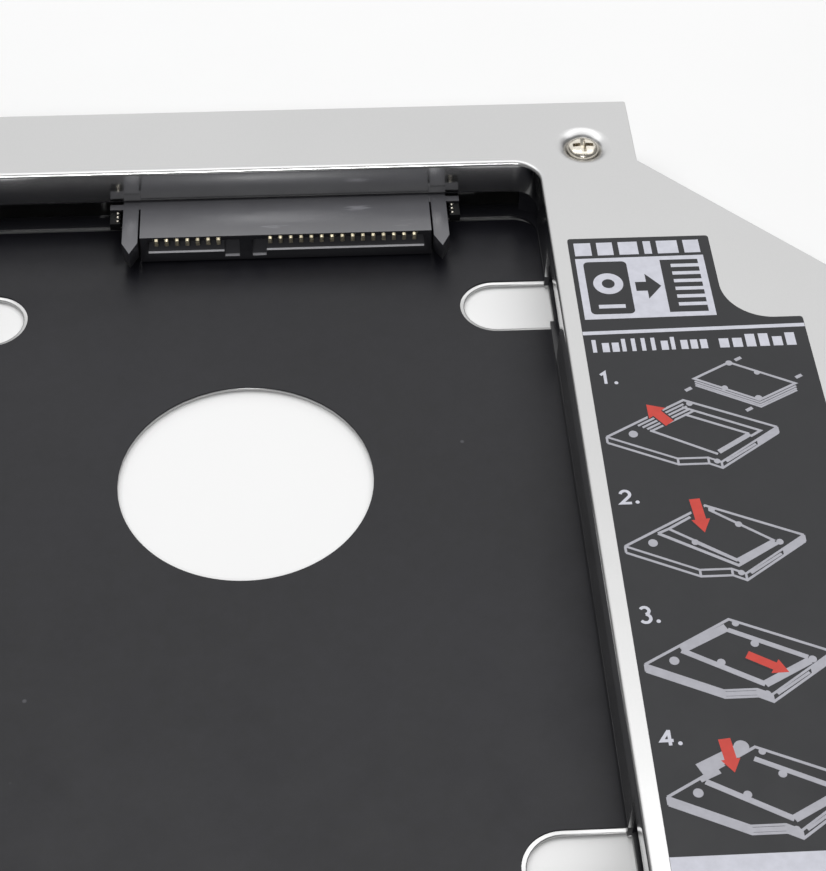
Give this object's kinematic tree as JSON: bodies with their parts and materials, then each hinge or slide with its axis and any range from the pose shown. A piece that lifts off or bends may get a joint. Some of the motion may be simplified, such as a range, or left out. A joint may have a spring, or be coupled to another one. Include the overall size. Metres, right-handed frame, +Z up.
{
  "type": "optical bay drive caddy",
  "caption": "Slim aluminium laptop bay caddy for a 2.5 inch serial ATA drive: open drive bay, drive receptacle, retainer block, slimline plug and black bezel.",
  "frame": {"origin": "centre of the bounding box in plan, on the underside of the bottom pan", "axes": "+X to the right seen from the bezel, +Y towards the rear edge that enters the laptop first, +Z up through the top plate"},
  "size_m": [0.128, 0.13, 0.0096],
  "materials": {
    "satin_aluminium": "fine satin sheet with bright cut edges",
    "frame_plastic": "moulded black, semi-gloss",
    "insulation_film": "matt charcoal film with a fine mottle",
    "label": "printed charcoal label with pale and red line art",
    "connector_plastic": "black connector moulding",
    "bezel_plastic": "fine moulded texture",
    "board": "black solder mask",
    "gold_contacts": "gold plated",
    "ceramic": "ceramic chip body",
    "screw_nickel": "nickel plated steel",
    "lens_plastic": "frosted clear lens"
  },
  "bodies": {
    "caddy": {"bottom_pan": "satin_aluminium", "top_plate": "satin_aluminium", "inner_frame": "frame_plastic", "wing_frame": "frame_plastic", "insulation_film": "insulation_film", "adapter_board": "board", "receptacle_housing": "connector_plastic", "receptacle_signal_contacts": "gold_contacts", "receptacle_power_contacts": "gold_contacts", "slimline_plug_housing": "connector_plastic", "slimline_signal_contacts": "gold_contacts", "slimline_power_contacts": "gold_contacts", "board_capacitor_1": "ceramic", "board_capacitor_2": "ceramic", "board_capacitor_3": "ceramic", "board_screw_left": "screw_nickel", "board_screw_right": "screw_nickel", "cover_screw_rear": "screw_nickel", "cover_screw_front": "screw_nickel", "edge_screw_rear": "screw_nickel", "edge_screw_front": "screw_nickel", "bezel_screw_left": "screw_nickel", "bezel_screw_right": "screw_nickel", "front_bezel": "bezel_plastic", "led_lens": "lens_plastic", "instruction_label": "label"},
    "button": {"eject_button": "bezel_plastic"},
    "retainer": {"retainer_block": "frame_plastic", "retainer_screw_left": "screw_nickel", "retainer_screw_right": "screw_nickel"}
  },
  "joints": [
    {"name": "eject_button_press", "type": "slide", "parent": "caddy", "child": "button", "axis": [0, 1, 0], "range_m": [0, 0.0008], "stiffness_N_per_m": 300, "springref_m": -0.0005},
    {"name": "retainer_lift", "type": "slide", "parent": "caddy", "child": "retainer", "axis": [0, 0, 1], "range_m": [0, 0.02]}
  ]
}
